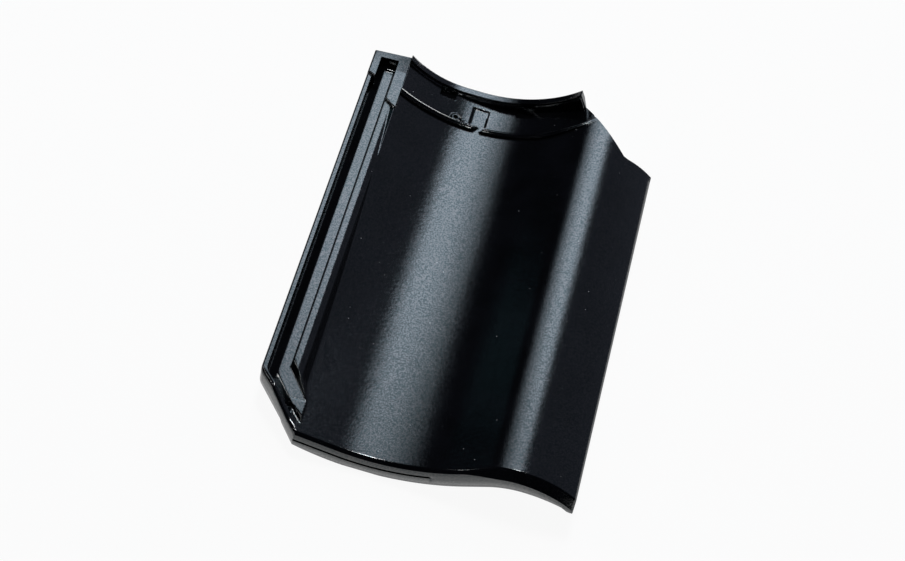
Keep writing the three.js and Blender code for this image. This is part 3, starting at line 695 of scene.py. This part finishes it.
def onto_hole(X, Y, cell):
    """Moves the grid points round the nail hole onto its edge."""
    r = np.hypot(X - NAIL_X, Y - NAIL_Y)
    rim = corners(cell, False) & ~corners(cell, True) & (r < NAIL_R + HOLE_RING)
    r = np.maximum(r, TINY)
    round_x = NAIL_X + (X - NAIL_X) * NAIL_R / r
    round_y = NAIL_Y + (Y - NAIL_Y) * NAIL_R / r
    return np.where(rim, round_x, X), np.where(rim, round_y, Y)


def build_tile():
    us, vs, X, Y = grid()
    cell = kept_cells(us, vs, X, Y)
    X, Y = onto_hole(X, Y, cell)
    top = top_height(X, Y)
    under = np.minimum(under_height(X, Y), top - LEAST_BODY)
    whole = corners(cell, True)
    blocks = [merged_blocks(whole, top, *FLAT_FACE), merged_blocks(whole, under, *FLAT_UNDER)]
    builder = Builder()

    def at(layer, i, j):
        return builder.point((layer, i, j), X[i, j], Y[i, j], (top, under)[layer][i, j])

    # faces of single cells; each side of a cell is noted, so that the outline is what has no other half
    edges = {}
    for i, j in zip(*np.nonzero(cell)):
        ring = [(i, j), (i + 1, j), (i + 1, j + 1), (i, j + 1)]
        block = (i - i % 2, j - j % 2)
        if block not in blocks[0]:
            builder.faces.append([at(0, *p) for p in ring])
        if block not in blocks[1]:
            builder.faces.append([at(1, *p) for p in reversed(ring)])
        for p, q in zip(ring, ring[1:] + ring[:1]):
            edges[(p, q)] = True

    for layer in (0, 1):
        for i, j in sorted(blocks[layer]):
            ring = block_face(i, j, blocks[layer])
            builder.faces.append([at(layer, *p) for p in (ring if layer else reversed(ring))])

    # side walls along the outline and in the nail hole
    for p, q in edges:
        if (q, p) in edges:
            continue
        columns = []
        for k in (p, q):
            rings = side_rings(X[k], Y[k], top[k], under[k])
            ids = [builder.point(("side", k, n), *c) for n, c in enumerate(rings)]
            columns.append([at(0, *k)] + ids + [at(1, *k)])
        for n in range(len(columns[0]) - 1):
            builder.faces.append([columns[0][n], columns[0][n + 1], columns[1][n + 1], columns[1][n]])
    return np.array(builder.points), builder.faces


def laid_down(points):
    """Rests on the lip and the two nibs, centred where the CAD model is; in metres."""
    rest_lip = LIP["trough_z"] + LIP_REST
    tilt = math.atan2(NIB_REACH + rest_lip, LENGTH - NIB_BACK - NIB_L / 2)
    x, y, z = points.T
    z = z - rest_lip
    y, z = y * math.cos(tilt) - z * math.sin(tilt), y * math.sin(tilt) + z * math.cos(tilt)
    low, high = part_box("roof_tile")
    middle = 1000 * (low[1] + high[1]) / 2
    y = y - (y.min() + y.max()) / 2 + middle
    return np.stack([x - WIDTH / 2, y, np.maximum(z, 0)], 1) / 1000


points, faces = build_tile()
mesh = bpy.data.meshes.new("glazed_tile")
mesh.from_pydata(laid_down(points).tolist(), [], faces)
mesh.update()
tile = bpy.data.objects.new("glazed_tile", mesh)
bpy.context.scene.collection.objects.link(tile)
mesh.shade_smooth()
mesh.set_sharp_from_angle(angle=math.radians(SHARP_ANGLE))


# ---------- materials ----------
class Nodes:
    """Short names for adding and joining shader nodes."""

    def __init__(self, owner):
        owner.use_nodes = True
        self.tree = owner.node_tree

    def add(self, kind, **values):
        n = self.tree.nodes.new("ShaderNode" + kind)
        for key, value in values.items():
            if key in n.inputs:
                n.inputs[key].default_value = value
            else:
                setattr(n, key, value)
        return n

    def join(self, *links):
        for out, into in links:
            self.tree.links.new(out, into)

    def feed(self, value, slot):
        """Joins an output to the slot, or sets a plain value on it."""
        if hasattr(value, "is_output"):
            self.join((value, slot))
        else:
            slot.default_value = value

    def math(self, operation, *values):
        n = self.add("Math", operation=operation)
        for i, value in enumerate(values):
            self.feed(value, n.inputs[i])
        return n.outputs[0]

    def ramp(self, source, low, high, to_low=0.0, to_high=1.0):
        n = self.add("MapRange")
        n.interpolation_type = "SMOOTHSTEP"
        for key, value in zip(("From Min", "From Max", "To Min", "To Max"), (low, high, to_low, to_high)):
            n.inputs[key].default_value = value
        self.join((source, n.inputs["Value"]))
        return n.outputs["Result"]

    def noise(self, where, scale, detail=2.0, roughness=0.5):
        n = self.add("TexNoise", Scale=scale, Detail=detail, Roughness=roughness)
        self.join((where, n.inputs["Vector"]))
        return n.outputs["Fac"]

    def mix(self, amount, low, high):
        n = self.add("Mix", data_type="RGBA")
        for key, value in (("A", low), ("B", high)):
            self.feed(value, [i for i in n.inputs if i.name == key and i.type == "RGBA"][0])
        self.join((amount, n.inputs[0]))
        return [o for o in n.outputs if o.type == "RGBA"][0]


def specks(n, where, cell, size, share):
    """1 on small round spots: one spot to a cell, in a share of the cells."""
    v = n.add("TexVoronoi", Scale=1 / cell, Randomness=1.0)
    n.join((where, v.inputs["Vector"]))
    chosen = n.add("SeparateColor")
    n.join((v.outputs["Color"], chosen.inputs["Color"]))
    keep = n.math("LESS_THAN", chosen.outputs[0], share)
    spot = n.ramp(v.outputs["Distance"], size / cell, SPOT_CORE * size / cell)
    return n.math("MULTIPLY", spot, keep)


def black_glaze():
    """Near-black glassy glaze: orange peel, fine grain, pinholes and pale specks."""
    material = bpy.data.materials.new("black_glaze")
    n = Nodes(material)
    p = n.tree.nodes["Principled BSDF"]
    where = n.add("TexCoord").outputs["Object"]
    cloud = n.noise(where, CLOUD_SCALE, 3.0)
    base = n.mix(n.ramp(cloud, 0.35, 0.65), BASE_DARK, BASE_LIGHT)
    base = n.mix(specks(n, where, *PALE_SPECKS), base, SPECK_COLOUR)
    n.join((base, p.inputs["Base Color"]))
    p.inputs["IOR"].default_value = GLAZE_IOR
    mottle = n.noise(where, MOTTLE_SCALE, 2.0, 0.7)
    tint = n.mix(n.ramp(mottle, 0.40, 0.60), SHEEN_DULL, SHEEN_BRIGHT)
    n.join((tint, p.inputs["Specular Tint"]))
    grain = n.noise(where, GRAIN_SCALE, 3.0, 0.7)
    n.join((n.ramp(grain, 0.3, 0.7, *GLAZE_ROUGHNESS), p.inputs["Roughness"]))
    wave = n.noise(where, WAVE_SCALE, 1.0)
    height = n.math("MULTIPLY_ADD", wave, WAVE_HEIGHT, n.noise(where, PEEL_SCALE))
    height = n.math("MULTIPLY_ADD", grain, GRAIN_HEIGHT, height)
    height = n.math("MULTIPLY_ADD", specks(n, where, *PITS), PIT_HEIGHT, height)
    bump = n.add("Bump", Strength=1.0, Distance=BUMP_DISTANCE)
    n.join((height, bump.inputs["Height"]), (bump.outputs["Normal"], p.inputs["Normal"]))
    return material


mesh.materials.append(black_glaze())
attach(tile, "root")
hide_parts("roof_tile")


# ---------- floor and light ----------
def floor_paper():
    """White paper that keeps the tile's shadow and shows white to the camera and in reflections."""
    material = bpy.data.materials.new("white_paper")
    n = Nodes(material)
    p = n.tree.nodes["Principled BSDF"]
    where = n.add("TexCoord").outputs["Object"]
    tone = n.ramp(n.noise(where, PAPER_SCALE), 0.3, 0.7)
    n.join((n.mix(tone, PAPER_DARK, PAPER_LIGHT), p.inputs["Base Color"]))
    p.inputs["Roughness"].default_value = PAPER_ROUGHNESS
    p.inputs["Specular IOR Level"].default_value = 0.0
    path = n.add("LightPath")
    seen = n.math("MAXIMUM", path.outputs["Is Camera Ray"], path.outputs["Is Glossy Ray"])
    seen = n.math("MAXIMUM", seen, path.outputs["Is Transmission Ray"])
    share = n.math("MULTIPLY", seen, WHITE_SHARE)
    glow = n.add("Emission", Strength=1.0)
    both = n.add("MixShader")
    n.join((share, both.inputs[0]), (p.outputs[0], both.inputs[1]), (glow.outputs[0], both.inputs[2]))
    n.join((both.outputs[0], n.tree.nodes["Material Output"].inputs["Surface"]))
    return material


def studio_world():
    """Dim room: darker on the tile's left, lighter on its right. Only the floor gives the white."""
    world = bpy.data.worlds.new("studio")
    bpy.context.scene.world = world
    n = Nodes(world)
    back = n.tree.nodes["Background"]
    split = n.add("SeparateXYZ")
    n.join((n.add("TexCoord").outputs["Generated"], split.inputs[0]))
    side = n.ramp(split.outputs["X"], *ROOM_TURN)
    front = n.ramp(split.outputs["Y"], *ROOM_FRONT)
    n.join((n.mix(n.math("MULTIPLY", side, front), ROOM_LEFT, ROOM_RIGHT), back.inputs["Color"]))
    back.inputs["Strength"].default_value = 1.0


def fade_light(light, side_fade, top_fade):
    """Lets a light fade across its face; each fade is (start, end, level at start, level at end)."""
    n = Nodes(light)
    place = n.add("SeparateXYZ")
    n.join((n.add("NewGeometry").outputs["Parametric"], place.inputs[0]))
    side = n.ramp(place.outputs["X"], *side_fade)
    top = n.ramp(place.outputs["Y"], *top_fade)
    n.join((n.math("MULTIPLY", side, top), n.tree.nodes["Emission"].inputs["Strength"]))


def softbox(name, turn, height, width, tall, radiance, colour=(1, 1, 1), spin=0):
    """Rectangular light that faces the tile, at an azimuth from +y and a height in degrees."""
    light = bpy.data.lights.new(name, "AREA")
    light.shape = "RECTANGLE"
    light.size = width
    light.size_y = tall
    light.energy = radiance * math.pi * width * tall
    light.color = colour
    holder = bpy.data.objects.new(name, light)
    a, h = math.radians(turn), math.radians(height)
    away = Vector((math.sin(a) * math.cos(h), math.cos(a) * math.cos(h), math.sin(h)))
    holder.location = LIGHT_DISTANCE * away
    faced = (-holder.location).to_track_quat("-Z", "Y").to_matrix()
    holder.rotation_euler = (faced @ Matrix.Rotation(math.radians(spin), 3, "Z")).to_euler()
    bpy.context.scene.collection.objects.link(holder)
    return light


bpy.ops.mesh.primitive_plane_add(size=FLOOR_SIZE, location=(0, 0, FLOOR_Z))
floor = bpy.context.object
floor.name = "floor"
floor.data.materials.append(floor_paper())
studio_world()
back = softbox("back_softbox", -12.5, 50, 1.38, 2.2, 4.0, (0.76, 0.88, 1.0), -24)
fade_light(back, (0.95, 0.40, 0.36, 1.0), (0.74, 0.53, 0.40, 1.0))
softbox("overhead_strip", -16, 79, 0.38, 0.80, 42.0)
softbox("low_back_strip", 20, 10, 1.50, 0.70, 7.0)
softbox("flank_panel", -47, 24, 0.07, 1.10, 0.40, (0.40, 0.85, 1.0))
softbox("left_light", -90, 37, 0.60, 0.50, 8.0)

cam_data = bpy.data.cameras.new("camera")
cam_data.lens = LENS
cam_data.sensor_width = 36
cam_data.clip_start = 0.01
cam = bpy.data.objects.new("camera", cam_data)
aim = (AIM - CAMERA).to_track_quat("-Z", "Y").to_matrix().to_4x4()
cam.matrix_world = Matrix.Translation(CAMERA) @ aim @ Matrix.Rotation(ROLL, 4, "Z")
bpy.context.scene.collection.objects.link(cam)
bpy.context.scene.camera = cam
bpy.context.scene.view_settings.view_transform = "Standard"
